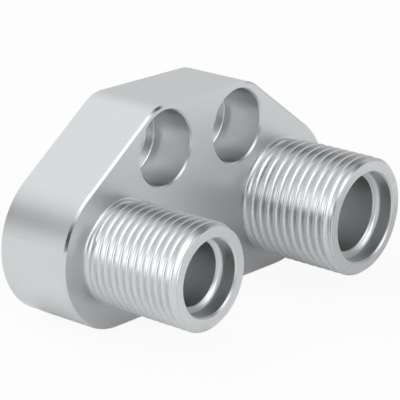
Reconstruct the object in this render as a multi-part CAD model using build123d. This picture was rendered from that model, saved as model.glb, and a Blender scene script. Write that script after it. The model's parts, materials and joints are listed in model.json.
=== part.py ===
"""Two-port hose adapter, machined from one block of aluminium. Millimetres, +Z up.

Two threaded spigots take hose nuts at the front, and two recessed cap screws clamp the flat back
face to the machine that the ports serve. The origin lies on that back face, midway between the
two port axes. The front faces -Y.
"""

from build123d import *
from math import radians, tan
import os

INCH = 25.4

# Block: the outline is the hull of two lobes round the ports and two rounded top corners
PORT_SPACING = 1.75 * INCH
BLOCK_THICKNESS = 15.1
LOBE_RADIUS = 14.0
# the lobe round the larger port is set out by this much, for more wall beside its thread
LARGE_LOBE_OFFSET = 0.8
# from the port axes up to the flat top
TOP_HEIGHT = 23.8
CORNER_RADIUS = 7.0
CORNER_SPACING = 22.0
EDGE_CHAMFER = 0.4

# Cap screws: their pair sits a little towards the smaller port
SCREW_SPACING = 19.9
SCREW_SHIFT = -0.4
SCREW_HEIGHT = 15.85
SCREW_HEAD_DIAMETER = 13.0
SCREW_HEAD_HEIGHT = 8.0
# room round the screw head, and above it when it is home
HEAD_SIDE_CLEARANCE = 0.3
HEAD_TOP_CLEARANCE = 0.6
SCREW_HOLE_DIAMETER = 9.0
SCREW_MOUTH_CHAMFER = 0.3

# Spigots, with inch fine threads
SPIGOT_LENGTH = 0.8 * INCH
SMALL_MAJOR_DIAMETER = 0.75 * INCH
SMALL_PITCH = INCH / 16
SMALL_BORE_DIAMETER = 11.6
SMALL_SEAT_DIAMETER = 13.6
LARGE_MAJOR_DIAMETER = 0.875 * INCH
LARGE_PITCH = INCH / 14
LARGE_BORE_DIAMETER = 14.4
LARGE_SEAT_DIAMETER = 16.8
# the chamfer that starts the nut on the thread
LEAD_CHAMFER = 0.65
# each spigot has a smooth neck at its root, this many pitches long, with a fillet into the block
NECK_LENGTH_PITCHES = 0.65
NECK_FILLET_PITCHES = 0.6
# the neck lies this much deeper than the bottom of the thread
NECK_UNDERCUT = 0.05

# Thread form: 60 degree flanks with flats on crest and root, as shares of the pitch
THREAD_ANGLE = 60.0
CREST_FLAT_SHARE = 1 / 8
ROOT_FLAT_SHARE = 1 / 6

# Seat inside each spigot: a short wider bore that narrows to the port bore through a cone
SEAT_DEPTH = 2.3
SEAT_CONE_ANGLE = 45.0
SEAT_FILLET = 0.6
SEAT_MOUTH_CHAMFER = 0.3
BACK_MOUTH_CHAMFER = 0.3

# Tools that cut through a face run past it by this much, so that no skin is left
OVERRUN = 1.0


def thread_depth(pitch):
    """Radial depth of the thread form."""
    groove_mouth = pitch * (1 - CREST_FLAT_SHARE)
    groove_root = pitch * ROOT_FLAT_SHARE
    return (groove_mouth - groove_root) / (2 * tan(radians(THREAD_ANGLE / 2)))


def forward_axis(x, z, start=0.0):
    """A plane across an axis that runs forward from the back face, moved forward by start."""
    return Plane(origin=(x, -start, z), x_dir=(1, 0, 0), z_dir=(0, -1, 0))


def block():
    """The flat block with its chamfered outline."""
    lobe_x = PORT_SPACING / 2
    corner_z = TOP_HEIGHT - CORNER_RADIUS
    circles = [
        Pos(-lobe_x, 0) * CenterArc((0, 0), LOBE_RADIUS, 0, 360),
        Pos(lobe_x + LARGE_LOBE_OFFSET, 0) * CenterArc((0, 0), LOBE_RADIUS, 0, 360),
        Pos(-CORNER_SPACING / 2, corner_z) * CenterArc((0, 0), CORNER_RADIUS, 0, 360),
        Pos(CORNER_SPACING / 2, corner_z) * CenterArc((0, 0), CORNER_RADIUS, 0, 360),
    ]
    body = extrude(forward_axis(0, 0) * make_hull(circles), amount=BLOCK_THICKNESS)
    faces = body.faces().sort_by(Axis.Y)
    return chamfer(faces[0].edges() + faces[-1].edges(), EDGE_CHAMFER)


def spigot(major_diameter, pitch):
    """The turned outside of a spigot at its thread's major diameter, its root sunk into the block."""
    major = major_diameter / 2
    neck = major - thread_depth(pitch) - NECK_UNDERCUT
    neck_length = NECK_LENGTH_PITCHES * pitch
    neck_fillet = NECK_FILLET_PITCHES * pitch
    root = neck + neck_fillet
    rise = major - neck
    section = Polyline(
        (root, 0),
        (root, -OVERRUN),
        (0, -OVERRUN),
        (0, SPIGOT_LENGTH),
        (major - LEAD_CHAMFER, SPIGOT_LENGTH),
        (major, SPIGOT_LENGTH - LEAD_CHAMFER),
        (major, neck_length + rise),
        (neck, neck_length),
        (neck, neck_fillet),
    )
    root_fillet = RadiusArc((neck, neck_fillet), (root, 0), -neck_fillet)
    return revolve(Plane.XZ * make_face(section.edges() + root_fillet.edges()), axis=Axis.Z)


def port_bore(bore_diameter, seat_diameter):
    """The way through a port, drawn from the end face of its spigot back to the back face."""
    bore = bore_diameter / 2
    seat = seat_diameter / 2
    end = BLOCK_THICKNESS + SPIGOT_LENGTH
    cone_length = (seat - bore) / tan(radians(SEAT_CONE_ANGLE))
    outline = Polyline(
        (0, end + OVERRUN),
        (seat + SEAT_MOUTH_CHAMFER + OVERRUN, end + OVERRUN),
        (seat, end - SEAT_MOUTH_CHAMFER),
        (seat, end - SEAT_DEPTH),
        (bore, end - SEAT_DEPTH - cone_length),
        (bore, BACK_MOUTH_CHAMFER),
        (bore + BACK_MOUTH_CHAMFER + OVERRUN, -OVERRUN),
        (0, -OVERRUN),
        close=True,
    )
    face = fillet(make_face(outline).vertices().sort_by_distance((seat, end - SEAT_DEPTH))[0], SEAT_FILLET)
    return revolve(Plane.XZ * face, axis=Axis.Z)


def screw_hole():
    """A cap screw's recess and clearance hole, drawn forward from the back face."""
    recess = SCREW_HEAD_DIAMETER / 2 + HEAD_SIDE_CLEARANCE
    recess_floor = BLOCK_THICKNESS - SCREW_HEAD_HEIGHT - HEAD_TOP_CLEARANCE
    hole = SCREW_HOLE_DIAMETER / 2
    outline = Polyline(
        (0, -OVERRUN),
        (hole, -OVERRUN),
        (hole, recess_floor),
        (recess, recess_floor),
        (recess, BLOCK_THICKNESS - SCREW_MOUTH_CHAMFER),
        (recess + SCREW_MOUTH_CHAMFER + OVERRUN, BLOCK_THICKNESS + OVERRUN),
        (0, BLOCK_THICKNESS + OVERRUN),
        close=True,
    )
    return revolve(Plane.XZ * make_face(outline), axis=Axis.Z)


def adapter():
    """The whole part: block, spigots, port bores and screw holes."""
    ports = [
        (-PORT_SPACING / 2, SMALL_MAJOR_DIAMETER, SMALL_PITCH, SMALL_BORE_DIAMETER, SMALL_SEAT_DIAMETER),
        (PORT_SPACING / 2, LARGE_MAJOR_DIAMETER, LARGE_PITCH, LARGE_BORE_DIAMETER, LARGE_SEAT_DIAMETER),
    ]
    body = block()
    for x, major_diameter, pitch, bore, seat in ports:
        body += forward_axis(x, 0, BLOCK_THICKNESS) * spigot(major_diameter, pitch)
        body -= forward_axis(x, 0) * port_bore(bore, seat)
    for side in (-1, 1):
        body -= forward_axis(SCREW_SHIFT + side * SCREW_SPACING / 2, SCREW_HEIGHT) * screw_hole()
    return body


os.makedirs("parts", exist_ok=True)
export_step(adapter(), "parts/adapter_block.step")
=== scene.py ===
"""Looks of the two-port hose adapter: its machined skin with real threads, its finish and a studio."""

import json
import math
from collections import Counter

import bmesh
import bpy
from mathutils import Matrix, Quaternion, Vector


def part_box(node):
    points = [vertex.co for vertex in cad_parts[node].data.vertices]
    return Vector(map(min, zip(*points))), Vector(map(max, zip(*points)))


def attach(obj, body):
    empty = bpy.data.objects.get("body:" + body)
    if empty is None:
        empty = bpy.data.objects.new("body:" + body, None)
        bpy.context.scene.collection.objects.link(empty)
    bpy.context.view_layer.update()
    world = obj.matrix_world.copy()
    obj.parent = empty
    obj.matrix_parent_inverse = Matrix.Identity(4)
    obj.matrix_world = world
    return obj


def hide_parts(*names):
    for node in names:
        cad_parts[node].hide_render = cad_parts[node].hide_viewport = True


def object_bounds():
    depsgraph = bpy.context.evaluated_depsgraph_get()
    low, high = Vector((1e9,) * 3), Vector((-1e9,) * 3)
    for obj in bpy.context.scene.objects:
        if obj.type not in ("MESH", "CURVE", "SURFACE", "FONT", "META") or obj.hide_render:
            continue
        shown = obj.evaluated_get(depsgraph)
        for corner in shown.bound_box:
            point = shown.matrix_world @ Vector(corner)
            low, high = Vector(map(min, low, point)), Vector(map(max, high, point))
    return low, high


bl_info = {
    "name": "Hose Adapter Block",
    "version": (1, 0, 0),
    "blender": (4, 5, 0),
    "location": "View3D > Sidebar > Adapter",
    "description": "Builds a machined two-port hose adapter with its threads, finish and studio",
    "category": "Add Mesh",
}

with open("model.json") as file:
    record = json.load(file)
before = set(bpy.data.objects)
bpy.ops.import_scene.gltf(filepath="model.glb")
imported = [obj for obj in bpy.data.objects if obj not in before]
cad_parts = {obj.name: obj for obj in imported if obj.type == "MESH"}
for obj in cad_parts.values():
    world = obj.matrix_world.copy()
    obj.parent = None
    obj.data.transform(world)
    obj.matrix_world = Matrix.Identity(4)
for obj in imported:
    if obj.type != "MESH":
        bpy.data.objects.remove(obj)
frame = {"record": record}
CAD_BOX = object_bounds()
NODE = "adapter_block"
MOUNTS = {mount["name"]: mount for mount in frame["record"]["mounts"]}

MM = 0.001
INCH = 25.4 * MM

# External thread form, as shares of the pitch: 60 degree flanks, with a round crest and a round root
FLANK_ANGLE = math.radians(30)
CREST_RADIUS_SHARE = 0.18
CREST_SHARE = 2 * CREST_RADIUS_SHARE * math.cos(FLANK_ANGLE)
ROOT_SHARE = 0.2
ROOT_RADIUS_SHARE = ROOT_SHARE / 2 / math.cos(FLANK_ANGLE)
FLANK_DEPTH_SHARE = (1 - CREST_SHARE - ROOT_SHARE) / 2 / math.tan(FLANK_ANGLE)
# Rows of faces from the middle of a crest to the middle of the next root
CREST_ROWS, FLANK_ROWS, ROOT_ROWS = 3, 2, 3
ROWS_PER_TURN = 2 * (CREST_ROWS + FLANK_ROWS + ROOT_ROWS)

# Material slots, by how the metal was cut
FACE, PROFILE, TURNED, BORED, COUNTERBORED = range(5)

# Points closer than this are one point
MERGE = 0.0005 * MM
# An arc in a turned section is cut into steps no longer than this, and one in the outline into shorter ones
ARC_STEP = math.radians(10)
OUTLINE_STEP = math.radians(3)
# Edges that bend by more than this stay crisp
CRISP_ANGLE = math.radians(34)

# The floor reaches this far from the part, in metres
FLOOR_REACH = 5.0
# The sky's gaps still give this much light
DIMMEST_SKY = 0.03
# Width of the camera's frame, in millimetres
FRAME_WIDTH = 36


# Sizes, finish and studio that a user would change


def length(name, description, default, **more):
    """A length that a user can change, in metres."""
    return bpy.props.FloatProperty(
        name=name, description=description, default=default, min=0, unit="LENGTH", precision=5, **more
    )


def mount_radius(name):
    """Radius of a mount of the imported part, in metres."""
    return MOUNTS[name]["dims"]["r_mm"] * MM


class ADAPTER_PG_block(bpy.types.PropertyGroup):
    """Sizes of the block and of its screw holes."""

    thickness: length("Thickness", "From the flat back face to the front face", 15.1 * MM)
    corner_radius: length("Corner radius", "Radius of the two top corners", 7.0 * MM)
    corner_spacing: length("Corner spacing", "Between the centres of the top corners", 22.0 * MM)
    edge_chamfer: length("Edge chamfer", "Chamfer round the front and back faces", 0.4 * MM)
    recess_radius: length("Recess radius", "Radius of a screw head's recess", 6.8 * MM)
    recess_depth: length("Recess depth", "Depth of a screw head's recess", 8.6 * MM)
    recess_fillet: length("Recess fillet", "Fillet that the tool left round the recess floor", 0.25 * MM)
    mouth_chamfer: length("Mouth chamfer", "Chamfer at the mouth of a hole", 0.3 * MM)


class ADAPTER_PG_port(bpy.types.PropertyGroup):
    """Sizes of one threaded spigot and of the bore through it, the smaller port's unless they are set."""

    pitch: length("Pitch", "Distance from one thread crest to the next", INCH / 16)
    first_crest: bpy.props.FloatProperty(
        name="First crest",
        description="Where a crest crosses the right-hand side, forward of the front face",
        default=-0.48 * MM,
        unit="LENGTH",
        precision=5,
    )
    seat_depth: length("Seat depth", "Depth of the seat in the mouth", 3.4 * MM)


class ADAPTER_PG_spigot(bpy.types.PropertyGroup):
    """Sizes that both spigots share."""

    neck_pitches: bpy.props.FloatProperty(
        name="Neck length", description="Length of the smooth neck at the root, in pitches", default=0.65
    )
    fillet_pitches: bpy.props.FloatProperty(
        name="Neck fillet", description="Radius of the fillet into the block, in pitches", default=0.6
    )
    neck_depth_pitches: bpy.props.FloatProperty(
        name="Neck depth",
        description="How deep the neck lies below the thread's crests, in pitches",
        default=0.64,
    )
    lead_chamfer: length("Lead chamfer", "Chamfer that starts the nut on the thread", 0.65 * MM)
    seat_fillet: length("Seat fillet", "Fillet between the seat and its floor", 0.85 * MM)
    floor_angle: bpy.props.FloatProperty(
        name="Seat floor angle",
        description="Between the axis and the floor of the seat",
        default=math.radians(84),
        subtype="ANGLE",
    )
    bore_chamfer: length("Bore chamfer", "Chamfer where the bore meets the seat's floor", 0.15 * MM)
    edge_radius: length("Edge radius", "Radius of the rounded edges of that chamfer", 0.05 * MM)
    columns: bpy.props.IntProperty(
        name="Columns", description="Faces round a spigot", default=160, min=24, max=240
    )


def roughness(name, description, default):
    """A roughness that a user can change."""
    return bpy.props.FloatProperty(name=name, description=description, default=default, min=0, max=1)


class ADAPTER_PG_finish(bpy.types.PropertyGroup):
    """Colours and roughness of the bare metal."""

    metal: bpy.props.StringProperty(
        name="Metal", description="Colour of the machined aluminium, as an sRGB hex value", default="E3E4E4"
    )
    face_roughness: roughness("Face roughness", "Roughness of the milled front and back", 0.36)
    profile_roughness: roughness("Outline roughness", "Roughness of the milled outline", 0.14)
    turned_roughness: roughness("Turned roughness", "Roughness of the spigots and their threads", 0.27)
    bored_roughness: roughness("Bored roughness", "Roughness inside the ports", 0.35)
    recess_roughness: roughness("Recess roughness", "Roughness inside the screw recesses", 0.29)
    # the real marks are about 0.1 mm apart and too fine to show, so they are drawn coarser
    face_marks: length("Face marks", "Spacing of the marks on the milled front and back", 0.25 * MM)
    profile_marks: length("Outline marks", "Spacing of the marks on the milled outline", 0.5 * MM)
    turned_marks: length("Turned marks", "Spacing of the rings on turned and bored faces", 0.3 * MM)


class ADAPTER_PG_studio(bpy.types.PropertyGroup):
    """Camera and light."""

    azimuth: bpy.props.FloatProperty(
        name="Azimuth",
        description="Side that the camera looks from",
        default=math.radians(-50.663),
        subtype="ANGLE",
    )
    elevation: bpy.props.FloatProperty(
        name="Elevation",
        description="Height that the camera looks from",
        default=math.radians(17.896),
        subtype="ANGLE",
    )
    roll: bpy.props.FloatProperty(
        name="Roll", description="Turn of the picture", default=math.radians(1.322), subtype="ANGLE"
    )
    distance: length("Distance", "From the camera to the point it aims at", 377.49 * MM)
    aim: bpy.props.FloatVectorProperty(
        name="Aim",
        description="Point in the middle of the picture",
        default=(-1.575 * MM, -15.820 * MM, 4.544 * MM),
        subtype="TRANSLATION",
        unit="LENGTH",
    )
    lens: bpy.props.FloatProperty(
        name="Lens", description="Focal length in millimetres on a 36 mm frame", default=190.22
    )
    floor: bpy.props.StringProperty(
        name="Floor", description="Colour of the floor, as an sRGB hex value", default="FAFAFA"
    )
    floor_glow: bpy.props.FloatProperty(
        name="Floor glow",
        description="How much of the floor shows plain white, to thin its shadow",
        default=0.92,
        max=1,
    )
    reflected_glow: bpy.props.FloatProperty(
        name="Reflected floor glow",
        description="The same for the floor as the metal reflects it",
        default=0.06,
        max=1,
    )
    # painted shade: these settings darken the paper's colour softly to the right of the spigots, where less
    # light reaches it
    shade: bpy.props.FloatProperty(
        name="Shade",
        description="How much darker the paper is to the right of the spigots",
        default=0.35,
        max=1,
    )
    shade_centre: bpy.props.FloatVectorProperty(
        name="Shade centre",
        description="Middle of that soft shade",
        default=(50 * MM, -58 * MM),
        size=2,
        unit="LENGTH",
    )
    shade_radius: length("Shade radius", "Reach of that shade", 60 * MM)


def zone(name, description, default):
    """A soft zone of the sky: its azimuth, elevation and spread in degrees, and the strength that it adds."""
    return bpy.props.FloatVectorProperty(name=name, description=description, default=default, size=4)


class ADAPTER_PG_sky(bpy.types.PropertyGroup):
    """Soft boxes and unlit gaps of the studio, all that the metal reflects beside the floor."""

    light: bpy.props.StringProperty(
        name="Light", description="Colour of the sky's light, as an sRGB hex value", default="FBFDFF"
    )
    strength: bpy.props.FloatProperty(name="Strength", description="Strength of the plain sky", default=0.6)
    front_box: zone("Front box", "Soft box in front of the spigots", (-1, 10, 15, 1.65))
    high_box: zone("High box", "Soft box above the front box", (0, 35, 17, 1.15))
    left_box: zone("Left box", "Soft box beside the smaller port", (-102, 17, 17, 2.1))
    back_box: zone("Back box", "Wide soft box above and behind", (180, 50, 31, 0.33))
    camera_gap: zone("Camera gap", "Unlit gap round the camera", (-27, 14, 14, -0.95))
    high_gap: zone("High gap", "Unlit gap above the camera", (-57, 45, 9, -0.25))
    right_gap: zone("Right gap", "Unlit gap to the right of the front box", (40, 39, 18, -0.8))
    left_gap: zone("Left gap", "Unlit gap behind the smaller port's side", (-136, 19, 13, -0.63))
    top_box: zone("Top box", "Soft box overhead", (0, 75, 16, 0.1))
    right_box: zone("Right box", "Soft box to the right of the larger port", (70, 37, 7, 0.5))


ZONES = [name for name in ADAPTER_PG_sky.__annotations__ if name not in ("light", "strength")]


# Nodes, colours and meshes


def linear(hex_colour):
    """An sRGB hex colour as linear red, green, blue and alpha."""
    channels = [int(hex_colour[i : i + 2], 16) / 255 for i in (0, 2, 4)]
    return [c / 12.92 if c <= 0.04045 else ((c + 0.055) / 1.055) ** 2.4 for c in channels] + [1]


def add(tree, kind, inputs=None, **settings):
    """Adds a node. inputs gives each socket, by name or number, a value or another node's output."""
    made = tree.nodes.new(kind)
    for name, value in settings.items():
        setattr(made, name, value)
    for socket, value in (inputs or {}).items():
        if isinstance(value, bpy.types.NodeSocket):
            tree.links.new(value, made.inputs[socket])
        else:
            made.inputs[socket].default_value = value
    return made.outputs


def ring(bm, centre, radius, y, count):
    """Vertices in a circle round an axis along Y, anticlockwise as seen from the front."""
    x, z = centre
    turns = [2 * math.pi * i / count for i in range(count)]
    return [bm.verts.new((x + radius * math.cos(t), y, z + radius * math.sin(t))) for t in turns]


def loop_edges(bm, loop):
    """The edges of a closed loop of vertices, made where they are missing."""
    pairs = zip(loop, loop[1:] + loop[:1])
    return [bm.edges.get(pair) or bm.edges.new(pair) for pair in pairs]


def skin(bm, loops, slot):
    """Faces between each loop and the next one, which has as many vertices."""
    for low, high in zip(loops, loops[1:]):
        for i in range(len(low)):
            j = (i + 1) % len(low)
            bm.faces.new((low[i], low[j], high[j], high[i])).material_index = slot


def plate(bm, loops, slot):
    """A flat face inside the first loop, with the other loops as holes in it. Gives the loops' edges."""
    edges = [edge for loop in loops for edge in loop_edges(bm, loop)]
    made = bmesh.ops.triangle_fill(bm, use_beauty=True, use_dissolve=False, edges=edges)
    for face in made["geom"]:
        if isinstance(face, bmesh.types.BMFace):
            face.material_index = slot
    return edges


def rounded(section):
    """Points of a turned section of (radius, y, fillet) corners, with an arc for each fillet."""
    points = []
    for k, (radius, y, fillet) in enumerate(section):
        corner = Vector((radius, y))
        arc = [corner]
        if fillet:
            back = (Vector(section[k - 1][:2]) - corner).normalized()
            on = (Vector(section[k + 1][:2]) - corner).normalized()
            half = back.angle(on) / 2
            centre = corner + (back + on).normalized() * fillet / math.sin(half)
            reach = fillet / math.tan(half)
            start, stop = corner + back * reach - centre, corner + on * reach - centre
            steps = max(1, math.ceil((math.pi - 2 * half) / ARC_STEP))
            arc = [centre + start.lerp(stop, i / steps).normalized() * fillet for i in range(steps + 1)]
        points += [point for point in arc if not points or (point - points[-1]).length > MERGE]
    return points


# The thread, by Geometry Nodes


def arc_height(tree, radius, off):
    """How far a circle stands above its centre, at a distance off it."""
    squared = add(tree, "ShaderNodeMath", {0: off, 1: off}, operation="MULTIPLY")[0]
    rest = add(tree, "ShaderNodeMath", {0: radius**2, 1: squared}, operation="SUBTRACT")[0]
    return add(tree, "ShaderNodeMath", {0: rest}, operation="SQRT")[0]


def thread_tree():
    """Node group that bends a grid into the skin of an external thread, cut by its neck and lead chamfer."""
    tree = bpy.data.node_groups.new("Thread Skin", "GeometryNodeTree")
    socket = tree.interface.new_socket
    socket("Geometry", in_out="OUTPUT", socket_type="NodeSocketGeometry")
    for name in (
        "Major Radius",
        "Pitch",
        "Neck Radius",
        "Thread Start",
        "Thread End",
        "Lead Chamfer",
        "First Crest",
        "Axis X",
        "Axis Z",
        "Front Y",
    ):
        socket(name, in_out="INPUT", socket_type="NodeSocketFloat")
    for name in ("Columns", "Turns"):
        socket(name, in_out="INPUT", socket_type="NodeSocketInt")
    socket("Material", in_out="INPUT", socket_type="NodeSocketMaterial")
    given = tree.nodes.new("NodeGroupInput").outputs
    math_node = "ShaderNodeMath"

    # a flat grid: across it one turn of the helix, along it the turns one after another
    rows = add(tree, math_node, {0: given["Turns"], 1: ROWS_PER_TURN}, operation="MULTIPLY")[0]
    column_points = add(tree, math_node, {0: given["Columns"], 1: 1.0}, operation="ADD")[0]
    row_points = add(tree, math_node, {0: rows, 1: 1.0}, operation="ADD")[0]
    grid = add(
        tree,
        "GeometryNodeMeshGrid",
        {"Size X": 1.0, "Size Y": 1.0, "Vertices X": column_points, "Vertices Y": row_points},
    )[0]
    place = add(tree, "ShaderNodeSeparateXYZ", {0: add(tree, "GeometryNodeInputPosition")[0]})
    turn = add(tree, math_node, {0: place["X"], 1: 0.5}, operation="ADD")[0]
    share = add(tree, math_node, {0: place["Y"], 1: 0.5}, operation="ADD")[0]
    along = add(tree, math_node, {0: share, 1: given["Turns"]}, operation="MULTIPLY")[0]

    # the rows crowd into the round crest and root, and thin out on the straight flanks
    spacing = tree.nodes.new("ShaderNodeFloatCurve")
    crest_end = CREST_ROWS / ROWS_PER_TURN
    flank_end = (CREST_ROWS + FLANK_ROWS) / ROWS_PER_TURN
    curve = spacing.mapping.curves[0]
    for row, reach in ((crest_end, CREST_SHARE / 2), (flank_end, 0.5 - ROOT_SHARE / 2)):
        curve.points.new(row, reach)
        curve.points.new(1 - row, 1 - reach)
    for point in curve.points:
        point.handle_type = "VECTOR"
    spacing.mapping.update()
    whole = add(tree, math_node, {0: along}, operation="FLOOR")[0]
    part = add(tree, math_node, {0: along, 1: whole}, operation="SUBTRACT")[0]
    tree.links.new(part, spacing.inputs["Value"])
    spaced = add(tree, math_node, {0: whole, 1: spacing.outputs[0]}, operation="ADD")[0]
    turned = add(tree, math_node, {0: spaced, 1: turn}, operation="ADD")[0]
    helix = {0: turned, 1: given["Pitch"], 2: given["First Crest"]}
    climb = add(tree, math_node, helix, operation="MULTIPLY_ADD")[0]
    forward = add(tree, "ShaderNodeClamp", {0: climb, 1: given["Thread Start"], 2: given["Thread End"]})[0]

    # how far each point is from the nearest crest, in pitches
    off = add(tree, math_node, {0: forward, 1: given["First Crest"]}, operation="SUBTRACT")[0]
    pitches = add(tree, math_node, {0: off, 1: given["Pitch"]}, operation="DIVIDE")[0]
    phase = add(tree, math_node, {0: pitches, 1: turn}, operation="SUBTRACT")[0]
    swing = add(tree, math_node, {0: phase, 1: 0.5}, operation="PINGPONG")[0]

    # depth of the round crest, then of the straight flank and of the round root below it
    in_crest = add(tree, math_node, {0: swing, 1: CREST_SHARE / 2}, operation="MINIMUM")[0]
    height = arc_height(tree, CREST_RADIUS_SHARE, in_crest)
    bulge = add(tree, math_node, {0: CREST_RADIUS_SHARE, 1: height}, operation="SUBTRACT")[0]
    flank = add(
        tree,
        "ShaderNodeMapRange",
        {"Value": swing, 1: CREST_SHARE / 2, 2: 0.5 - ROOT_SHARE / 2, 3: 0.0, 4: FLANK_DEPTH_SHARE},
    )[0]
    from_root = add(tree, math_node, {0: 0.5, 1: swing}, operation="SUBTRACT")[0]
    in_root = add(tree, math_node, {0: from_root, 1: ROOT_SHARE / 2}, operation="MINIMUM")[0]
    height = arc_height(tree, ROOT_RADIUS_SHARE, in_root)
    root_edge = ROOT_RADIUS_SHARE * math.sin(FLANK_ANGLE)
    hollow = add(tree, math_node, {0: height, 1: root_edge}, operation="SUBTRACT")[0]
    flank_top = add(tree, math_node, {0: bulge, 1: flank}, operation="ADD")[0]
    depth = add(tree, math_node, {0: flank_top, 1: hollow}, operation="ADD")[0]
    sunk = add(tree, math_node, {0: depth, 1: given["Pitch"]}, operation="MULTIPLY")[0]
    thread = add(tree, math_node, {0: given["Major Radius"], 1: sunk}, operation="SUBTRACT")[0]

    # the neck's 45 degree shoulder and the lead chamfer cut what stands above them
    past_start = add(tree, math_node, {0: forward, 1: given["Thread Start"]}, operation="SUBTRACT")[0]
    shoulder = add(tree, math_node, {0: given["Neck Radius"], 1: past_start}, operation="ADD")[0]
    to_end = add(tree, math_node, {0: given["Thread End"], 1: forward}, operation="SUBTRACT")[0]
    end_rim = {0: given["Major Radius"], 1: given["Lead Chamfer"]}
    end_radius = add(tree, math_node, end_rim, operation="SUBTRACT")[0]
    lead = add(tree, math_node, {0: end_radius, 1: to_end}, operation="ADD")[0]
    cut = add(tree, math_node, {0: thread, 1: shoulder}, operation="MINIMUM")[0]
    radius = add(tree, math_node, {0: cut, 1: lead}, operation="MINIMUM")[0]

    angle = add(tree, math_node, {0: turn, 1: 2 * math.pi}, operation="MULTIPLY")[0]
    cosine = add(tree, math_node, {0: angle}, operation="COSINE")[0]
    sine = add(tree, math_node, {0: angle}, operation="SINE")[0]
    x = add(tree, math_node, {0: radius, 1: cosine, 2: given["Axis X"]}, operation="MULTIPLY_ADD")[0]
    y = add(tree, math_node, {0: given["Front Y"], 1: forward}, operation="SUBTRACT")[0]
    z = add(tree, math_node, {0: radius, 1: sine, 2: given["Axis Z"]}, operation="MULTIPLY_ADD")[0]
    bent = add(tree, "ShaderNodeCombineXYZ", {0: x, 1: y, 2: z})[0]
    wound = add(tree, "GeometryNodeSetPosition", {"Geometry": grid, "Position": bent})[0]
    closed = add(tree, "GeometryNodeMergeByDistance", {"Geometry": wound, "Distance": MERGE})[0]
    real = add(tree, "GeometryNodeRealizeInstances", {"Geometry": closed})[0]
    finished = add(tree, "GeometryNodeSetMaterial", {"Geometry": real, "Material": given["Material"]})[0]
    tree.links.new(finished, tree.nodes.new("NodeGroupOutput").inputs["Geometry"])
    return tree


def thread_mesh(port, material):
    """The skin of one port's thread as a plain mesh."""
    first_turn = math.floor((port["start"] - port["first_crest"]) / port["pitch"]) - 1
    first_crest = port["first_crest"] + first_turn * port["pitch"]
    values = {
        "Major Radius": port["major"],
        "Pitch": port["pitch"],
        "Neck Radius": port["neck"],
        "Thread Start": port["start"],
        "Thread End": port["length"],
        "Lead Chamfer": port["lead"],
        "First Crest": first_crest,
        "Axis X": port["axis"][0],
        "Axis Z": port["axis"][1],
        "Front Y": port["front"],
        "Columns": port["columns"],
        "Turns": math.ceil((port["length"] - first_crest) / port["pitch"]),
        "Material": material,
    }
    tree = bpy.data.node_groups.get("Thread Skin") or thread_tree()
    holder = bpy.data.objects.new("thread_skin", bpy.data.meshes.new("thread_skin"))
    bpy.context.scene.collection.objects.link(holder)
    modifier = holder.modifiers.new("Thread Skin", "NODES")
    modifier.node_group = tree
    sockets = {item.name: item.identifier for item in tree.interface.items_tree if item.in_out == "INPUT"}
    for name, value in values.items():
        modifier[sockets[name]] = value
    holder.update_tag()
    graph = bpy.context.evaluated_depsgraph_get()
    mesh = bpy.data.meshes.new_from_object(holder.evaluated_get(graph))
    bpy.data.objects.remove(holder)
    return mesh


# The block and its ports


def port_sizes(scene, name):
    """Every size of one port, from the frame, the mounts and the panel."""
    own = getattr(scene, f"adapter_{name}_port")
    shared = scene.adapter_spigot
    mount = MOUNTS[f"{name}_spigot"]
    major = mount_radius(f"{name}_spigot")
    low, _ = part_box(NODE)
    front = -scene.adapter_block.thickness
    return {
        "axis": (mount["pos_m"][0], mount["pos_m"][2]),
        "front": front,
        "length": front - low.y,
        "major": major,
        "pitch": own.pitch,
        "first_crest": own.first_crest,
        "neck": major - shared.neck_depth_pitches * own.pitch,
        "start": shared.neck_pitches * own.pitch,
        "fillet": shared.fillet_pitches * own.pitch,
        "lead": shared.lead_chamfer,
        "columns": shared.columns,
        "bore": mount_radius(f"{name}_port"),
        "seat": mount_radius(f"{name}_seat"),
        "seat_depth": own.seat_depth,
        "seat_fillet": shared.seat_fillet,
        "floor_angle": shared.floor_angle,
        "bore_chamfer": shared.bore_chamfer,
        "edge_radius": shared.edge_radius,
        "mouth": scene.adapter_block.mouth_chamfer,
    }


def hull(circles):
    """Outline round circles (x, z, radius) given anticlockwise, as (circle, outward angle) pairs.

    It runs straight from each circle to the next, so both ends of a straight run share one angle.
    """
    tangents = []
    for this, other in zip(circles, circles[1:] + circles[:1]):
        across = Vector((other[0] - this[0], other[1] - this[1]))
        tangents.append(math.atan2(across.y, across.x) - math.acos((this[2] - other[2]) / across.length))
    outline = []
    for i in range(len(circles)):
        start = tangents[i - 1]
        turn = (tangents[i] - start) % (2 * math.pi)
        steps = math.ceil(turn / OUTLINE_STEP)
        outline += [(i, start + turn * k / steps) for k in range(steps + 1)]
    return outline


def outline_loop(bm, circles, outline, inset, y):
    """Vertices along the hull's outline, moved inwards by inset."""
    loop = []
    for i, angle in outline:
        x, z, radius = circles[i]
        reach = radius - inset
        loop.append(bm.verts.new((x + reach * math.cos(angle), y, z + reach * math.sin(angle))))
    return loop


def block_circles(block):
    """The lobes round the ports and the top corners, anticlockwise from the right, as seen from the front."""
    low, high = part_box(NODE)
    lobe = -low.z
    corner_x = block.corner_spacing / 2
    corner_z = high.z - block.corner_radius
    return [
        (high.x - lobe, 0.0, lobe),
        (corner_x, corner_z, block.corner_radius),
        (-corner_x, corner_z, block.corner_radius),
        (low.x + lobe, 0.0, lobe),
    ]


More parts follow.
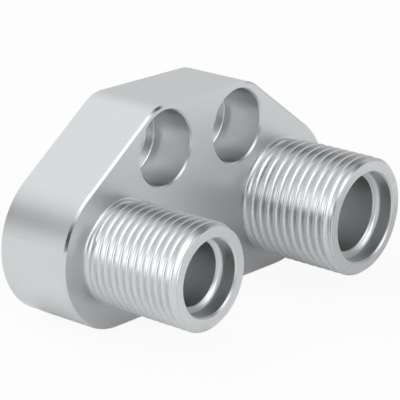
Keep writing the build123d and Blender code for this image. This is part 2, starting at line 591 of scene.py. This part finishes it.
def port_loops(bm, port):
    """Rings of one port: round the neck from the front face out, and inside from the end face to the back."""
    front = port["front"]
    end = front - port["length"]
    neck = [
        (port["neck"] + port["fillet"], front, 0),
        (port["neck"], front, port["fillet"]),
        (port["neck"], front - port["start"], 0),
    ]
    floor_start = end + port["seat_depth"]
    chamfer_radius = port["bore"] + port["bore_chamfer"]
    chamfer_start = floor_start + (port["seat"] - chamfer_radius) / math.tan(port["floor_angle"])
    bore_start = chamfer_start + port["bore_chamfer"]
    inside = [
        (port["seat"] + port["mouth"], end, 0),
        (port["seat"], end + port["mouth"], 0),
        (port["seat"], floor_start, port["seat_fillet"]),
        (chamfer_radius, chamfer_start, port["edge_radius"]),
        (port["bore"], bore_start, port["edge_radius"]),
        (port["bore"], -port["mouth"], 0),
        (port["bore"] + port["mouth"], 0.0, 0),
    ]
    return [
        [ring(bm, port["axis"], radius, y, port["columns"]) for radius, y in rounded(section)]
        for section in (neck, inside)
    ]


def add_thread(bm, port, neck, mouth, material, slot):
    """Adds the thread's skin between the neck and the end face, and the end face itself."""
    old = set(bm.verts)
    skin_mesh = thread_mesh(port, material)
    bm.from_mesh(skin_mesh)
    bpy.data.meshes.remove(skin_mesh)
    new = [v for v in bm.verts if v not in old]
    for face in {face for v in new for face in v.link_faces}:
        face.material_index = slot
    end = port["front"] - port["length"]
    rim = [None] * port["columns"]
    for v in new:
        if abs(v.co.y - end) < MERGE and v.is_boundary:
            turn = math.atan2(v.co.z - port["axis"][1], v.co.x - port["axis"][0]) / (2 * math.pi)
            rim[round(turn * port["columns"]) % port["columns"]] = v
    skin(bm, [rim, mouth], slot)
    bmesh.ops.remove_doubles(bm, verts=new + neck, dist=MERGE)


def screw_hole_loops(bm, block, centre, hole_radius, count):
    """Loops of a screw's recess and hole, from the front face to the back face."""
    front = -block.thickness
    recess = block.recess_radius
    floor = front + block.recess_depth
    section = [
        (recess + block.mouth_chamfer, front, 0),
        (recess, front + block.mouth_chamfer, 0),
        (recess, floor, block.recess_fillet),
        (hole_radius, floor, 0),
        (hole_radius, 0.0, 0),
    ]
    return [ring(bm, centre, radius, y, count) for radius, y in rounded(section)]


def build_block(scene, finishes):
    """The whole part as one closed mesh, with a material slot for each way that its metal was cut."""
    block = scene.adapter_block
    bm = bmesh.new()
    front_loops, back_loops, crisp = [], [], []
    circles = block_circles(block)
    outline = hull(circles)
    heights = [
        (block.edge_chamfer, -block.thickness),
        (0.0, -block.thickness + block.edge_chamfer),
        (0.0, -block.edge_chamfer),
        (block.edge_chamfer, 0.0),
    ]
    walls = [outline_loop(bm, circles, outline, inset, y) for inset, y in heights]
    skin(bm, walls, PROFILE)
    front_loops.append(walls[0])
    back_loops.append(walls[-1])
    # the outline's flat sides end in crisp lines, so that the corners' shading doesn't creep into them
    for k, (i, _) in enumerate(outline):
        if i != outline[k - 1][0]:
            for loops in zip(walls, walls[1:]):
                crisp += [bm.edges.get((loops[0][n], loops[1][n])) for n in (k, k - 1)]
    ports = []
    for name in ("small", "large"):
        port = port_sizes(scene, name)
        neck, inside = port_loops(bm, port)
        skin(bm, neck, TURNED)
        skin(bm, inside, BORED)
        front_loops.append(neck[0])
        back_loops.append(inside[-1])
        ports.append((port, neck[-1], inside[0]))
    holes = MOUNTS["screw_holes"]
    spacing = holes["dims"]["spacing_x_mm"] * MM
    for side in (-1, 1):
        centre = (holes["pos_m"][0] + side * spacing / 2, holes["pos_m"][2])
        hole_radius = holes["dims"]["hole_r_mm"] * MM
        loops = screw_hole_loops(bm, block, centre, hole_radius, scene.adapter_spigot.columns)
        skin(bm, loops, COUNTERBORED)
        front_loops.append(loops[0])
        back_loops.append(loops[-1])
    crisp += plate(bm, front_loops, FACE) + plate(bm, back_loops, FACE)
    for edge in bm.edges:
        edge.smooth = True
    for edge in crisp:
        edge.smooth = False
    for port, neck, mouth in ports:
        add_thread(bm, port, neck, mouth, finishes[TURNED], TURNED)
    bmesh.ops.recalc_face_normals(bm, faces=bm.faces)
    for face in bm.faces:
        face.smooth = True
    for edge in bm.edges:
        if edge.smooth and edge.calc_face_angle(0) > CRISP_ANGLE:
            edge.smooth = False
    mesh = bpy.data.meshes.new("machined_block")
    bm.to_mesh(mesh)
    bm.free()
    for finish in finishes:
        mesh.materials.append(finish)
    return mesh


def is_closed(mesh):
    """Whether each edge of a mesh joins two faces."""
    uses = Counter(corner.edge_index for corner in mesh.loops)
    return len(uses) == len(mesh.edges) and set(uses.values()) == {2}


# Finishes


def new_material(name):
    """An empty node material and its node tree."""
    material = bpy.data.materials.new(name)
    material.use_nodes = True
    material.node_tree.nodes.clear()
    return material, material.node_tree


def across_rings(tree, shift, half_spacing, height):
    """A vector that changes only across the rings that a tool cuts round the nearer of two axes along Y."""
    place = add(tree, "ShaderNodeSeparateXYZ", {0: add(tree, "ShaderNodeTexCoord")["Object"]})
    centred = add(tree, "ShaderNodeMath", {0: place["X"], 1: shift}, operation="SUBTRACT")[0]
    folded = add(tree, "ShaderNodeMath", {0: centred}, operation="ABSOLUTE")[0]
    across = add(tree, "ShaderNodeMath", {0: folded, 1: half_spacing}, operation="SUBTRACT")[0]
    up = add(tree, "ShaderNodeMath", {0: place["Z"], 1: height}, operation="SUBTRACT")[0]
    spoke = add(tree, "ShaderNodeCombineXYZ", {0: across, 1: up})[0]
    distance = add(tree, "ShaderNodeVectorMath", {0: spoke}, operation="LENGTH")["Value"]
    return add(tree, "ShaderNodeCombineXYZ", {0: distance, 1: place["Y"]})[0]


def across_cuts(tree, scale):
    """Object coordinates, scaled down along the cuts that a mill left, so that its marks are long there."""
    place = add(tree, "ShaderNodeTexCoord")["Object"]
    return add(tree, "ShaderNodeMapping", {"Vector": place, "Scale": scale})[0]


def cut_metal(tree, finish, rough, across, spacing, depth, contrast):
    """Bare aluminium with a tool's marks.

    across gives the way they run, spacing and depth their size, and contrast the share by which
    they make the metal duller or brighter.
    """
    marks = add(
        tree,
        "ShaderNodeTexNoise",
        {"Vector": across, "Scale": 1 / spacing, "Detail": 2.0, "Roughness": 0.6},
    )[0]
    # nearly all of the noise lies between 0.3 and 0.7
    dulled = add(
        tree,
        "ShaderNodeMapRange",
        {"Value": marks, 1: 0.3, 2: 0.7, 3: rough * (1 - contrast), 4: rough * (1 + contrast)},
    )[0]
    relief = add(tree, "ShaderNodeBump", {"Height": marks, "Strength": 1.0, "Distance": depth})[0]
    shader = add(
        tree,
        "ShaderNodeBsdfPrincipled",
        {"Base Color": linear(finish.metal), "Metallic": 1.0, "Roughness": dulled, "Normal": relief},
    )[0]
    add(tree, "ShaderNodeOutputMaterial", {"Surface": shader})


def face_milled_aluminium(finish):
    """Aluminium alloy, faced by an end mill: satin, with faint straight marks along the block."""
    material, tree = new_material("face_milled_aluminium")
    # the cuts run along X
    across = across_cuts(tree, (0.06, 1.0, 1.0))
    cut_metal(
        tree, finish, finish.face_roughness, across, finish.face_marks, depth=0.0002 * MM, contrast=0.04
    )
    return material


def profile_milled_aluminium(finish):
    """Aluminium alloy, milled round its outline: brighter, with streaks along the way that the mill went."""
    material, tree = new_material("profile_milled_aluminium")
    # the cuts run round the outline, square to Y
    across = across_cuts(tree, (0.05, 1.0, 0.05))
    cut_metal(
        tree, finish, finish.profile_roughness, across, finish.profile_marks, depth=0.0005 * MM, contrast=0.15
    )
    return material


def ringed_aluminium(name, finish, rough, axes, depth, contrast):
    """Aluminium alloy, cut round one of two axes along Y, given by their middle, half spacing and height."""
    material, tree = new_material(name)
    cut_metal(tree, finish, rough, across_rings(tree, *axes), finish.turned_marks, depth, contrast)
    return material


def turned_aluminium(finish, axes):
    """Aluminium alloy, turned: silky threads and end faces, whose fine rings hardly show."""
    return ringed_aluminium(
        "turned_aluminium", finish, finish.turned_roughness, axes, depth=0.0002 * MM, contrast=0.08
    )


def bored_aluminium(finish, axes):
    """Aluminium alloy, bored: duller, with soft rings that spread the light inside the ports."""
    return ringed_aluminium(
        "bored_aluminium", finish, finish.bored_roughness, axes, depth=0.002 * MM, contrast=0.15
    )


def counterbored_aluminium(finish, axes):
    """Aluminium alloy, cut by an end mill plunged in: smooth walls with long soft reflections."""
    return ringed_aluminium(
        "counterbored_aluminium", finish, finish.recess_roughness, axes, depth=0.0001 * MM, contrast=0.03
    )


def studio_paper(studio):
    """Matt white paper with a painted shade in one place, where its colour is darker.

    Part of it shows as plain white, so that the shadow on it stays faint.
    """
    material, tree = new_material("studio_paper")
    place = add(tree, "ShaderNodeTexCoord")["Object"]
    # painted shade: the paper's colour darkens smoothly towards the shade centre, in place of less light
    # there
    centre = (*studio.shade_centre, CAD_BOX[0].z)
    away = add(tree, "ShaderNodeVectorMath", {0: place, 1: centre}, operation="DISTANCE")["Value"]
    rise = {"Value": away, 1: 0.0, 2: studio.shade_radius, 3: 1 - studio.shade, 4: 1.0}
    kept = add(tree, "ShaderNodeMapRange", rise, interpolation_type="SMOOTHERSTEP")[0]
    colour = {0: linear(studio.floor)[:3], "Scale": kept}
    shaded = add(tree, "ShaderNodeVectorMath", colour, operation="SCALE")[0]
    paper = add(tree, "ShaderNodeBsdfDiffuse", {"Color": shaded})[0]
    glow = add(tree, "ShaderNodeEmission", {"Color": (1, 1, 1, 1), "Strength": 1.0})[0]
    path = add(tree, "ShaderNodeLightPath")
    rays = {0: path["Is Glossy Ray"], 1: path["Is Transmission Ray"]}
    mirrored = add(tree, "ShaderNodeMath", rays, operation="MAXIMUM")[0]
    mirrored = add(tree, "ShaderNodeMath", {0: mirrored, 1: studio.reflected_glow}, operation="MULTIPLY")[0]
    rays = {0: path["Is Camera Ray"], 1: studio.floor_glow, 2: mirrored}
    share = add(tree, "ShaderNodeMath", rays, operation="MULTIPLY_ADD")[0]
    mixed = add(tree, "ShaderNodeMixShader", {0: share, 1: paper, 2: glow})[0]
    add(tree, "ShaderNodeOutputMaterial", {"Surface": mixed})
    return material


def towards(azimuth, elevation):
    """Unit vector at an azimuth, from the front towards the right, and an elevation, in radians."""
    return Vector(
        (
            math.sin(azimuth) * math.cos(elevation),
            -math.cos(azimuth) * math.cos(elevation),
            math.sin(elevation),
        )
    )


def studio_sky(sky):
    """World of a plain pale sky with soft boxes and unlit gaps in it."""
    world = bpy.data.worlds.new("studio_sky")
    world.use_nodes = True
    tree = world.node_tree
    tree.nodes.clear()
    direction = add(tree, "ShaderNodeTexCoord")["Generated"]
    light = sky.strength
    for name in ZONES:
        azimuth, elevation, spread, strength = getattr(sky, name)
        middle = towards(math.radians(azimuth), math.radians(elevation))
        near = add(tree, "ShaderNodeVectorMath", {0: direction, 1: middle}, operation="DOT_PRODUCT")["Value"]
        off = add(tree, "ShaderNodeMath", {0: near, 1: 1.0}, operation="SUBTRACT")[0]
        fall = add(tree, "ShaderNodeMath", {0: off, 1: math.radians(spread) ** 2}, operation="DIVIDE")[0]
        bell = add(tree, "ShaderNodeMath", {0: fall}, operation="EXPONENT")[0]
        light = add(tree, "ShaderNodeMath", {0: bell, 1: strength, 2: light}, operation="MULTIPLY_ADD")[0]
    never_dark = add(tree, "ShaderNodeMath", {0: light, 1: DIMMEST_SKY}, operation="MAXIMUM")[0]
    shader = add(tree, "ShaderNodeBackground", {"Color": linear(sky.light), "Strength": never_dark})[0]
    add(tree, "ShaderNodeOutputWorld", {"Surface": shader})
    return world


# Operators


class ADAPTER_OT_add_block(bpy.types.Operator):
    """Add the machined block with its spigots, threads, ports and screw holes"""

    bl_idname = "adapter.add_block"
    bl_label = "Add Adapter Block"

    def execute(self, context):
        scene = context.scene
        finish = scene.adapter_finish
        port_axes = (0.0, MOUNTS["large_spigot"]["pos_m"][0], 0.0)
        screws = MOUNTS["screw_holes"]
        screw_axes = (screws["pos_m"][0], screws["dims"]["spacing_x_mm"] / 2 * MM, screws["pos_m"][2])
        finishes = (
            face_milled_aluminium(finish),
            profile_milled_aluminium(finish),
            turned_aluminium(finish, port_axes),
            bored_aluminium(finish, port_axes),
            counterbored_aluminium(finish, screw_axes),
        )
        mesh = build_block(scene, finishes)
        if not is_closed(mesh):
            raise RuntimeError("the machined block's mesh isn't closed")
        piece = bpy.data.objects.new("machined_block", mesh)
        scene.collection.objects.link(piece)
        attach(piece, "root")
        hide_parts(NODE)
        return {"FINISHED"}


class ADAPTER_OT_add_studio(bpy.types.Operator):
    """Add the floor, the light and the camera"""

    bl_idname = "adapter.add_studio"
    bl_label = "Add Studio"

    def execute(self, context):
        scene = context.scene
        studio = scene.adapter_studio
        low, _ = CAD_BOX
        mesh = bpy.data.meshes.new("studio_floor")
        signs = ((-1, -1), (1, -1), (1, 1), (-1, 1))
        corners = [(x * FLOOR_REACH, y * FLOOR_REACH, low.z) for x, y in signs]
        mesh.from_pydata(corners, [], [(0, 1, 2, 3)])
        floor = bpy.data.objects.new("studio_floor", mesh)
        scene.collection.objects.link(floor)
        mesh.materials.append(studio_paper(studio))
        scene.world = studio_sky(scene.adapter_sky)

        camera = bpy.data.objects.new("camera", bpy.data.cameras.new("camera"))
        camera.data.sensor_width = FRAME_WIDTH
        camera.data.lens = studio.lens
        camera.data.clip_start = 0.01
        back = towards(studio.azimuth, studio.elevation)
        camera.rotation_mode = "QUATERNION"
        level = (-back).to_track_quat("-Z", "Y")
        camera.rotation_quaternion = level @ Quaternion((0, 0, 1), studio.roll)
        camera.location = Vector(studio.aim) + back * studio.distance
        scene.collection.objects.link(camera)
        scene.camera = camera
        scene.view_settings.view_transform = "Standard"
        return {"FINISHED"}


class ADAPTER_PT_panel(bpy.types.Panel):
    """Sizes and operators of the adapter"""

    bl_label = "Hose Adapter"
    bl_idname = "ADAPTER_PT_panel"
    bl_space_type = "VIEW_3D"
    bl_region_type = "UI"
    bl_category = "Adapter"

    def draw(self, context):
        for group in GROUPS:
            settings = getattr(context.scene, group)
            self.layout.label(text=group.replace("_", " ").capitalize())
            for name in settings.__annotations__:
                self.layout.prop(settings, name)
        for operator in OPERATORS:
            self.layout.operator(operator.bl_idname)


GROUPS = {
    "adapter_block": ADAPTER_PG_block,
    "adapter_small_port": ADAPTER_PG_port,
    "adapter_large_port": ADAPTER_PG_port,
    "adapter_spigot": ADAPTER_PG_spigot,
    "adapter_finish": ADAPTER_PG_finish,
    "adapter_studio": ADAPTER_PG_studio,
    "adapter_sky": ADAPTER_PG_sky,
}
OPERATORS = (ADAPTER_OT_add_block, ADAPTER_OT_add_studio)
CLASSES = (
    ADAPTER_PG_block,
    ADAPTER_PG_port,
    ADAPTER_PG_spigot,
    ADAPTER_PG_finish,
    ADAPTER_PG_studio,
    ADAPTER_PG_sky,
    *OPERATORS,
    ADAPTER_PT_panel,
)


def register():
    """Registers the classes and puts the settings on the scene."""
    for each in CLASSES:
        bpy.utils.register_class(each)
    for name, group in GROUPS.items():
        setattr(bpy.types.Scene, name, bpy.props.PointerProperty(type=group))


def unregister():
    """Takes the settings and the classes away."""
    for name in GROUPS:
        delattr(bpy.types.Scene, name)
    for each in reversed(CLASSES):
        bpy.utils.unregister_class(each)


def main():
    """Builds the part and the studio."""
    register()
    scene = bpy.context.scene
    # the defaults are the smaller port's
    large = scene.adapter_large_port
    large.pitch = INCH / 14
    large.first_crest = -0.36 * MM
    large.seat_depth = 3.35 * MM
    bpy.ops.adapter.add_block()
    bpy.ops.adapter.add_studio()


if __name__ == "__main__":
    main()
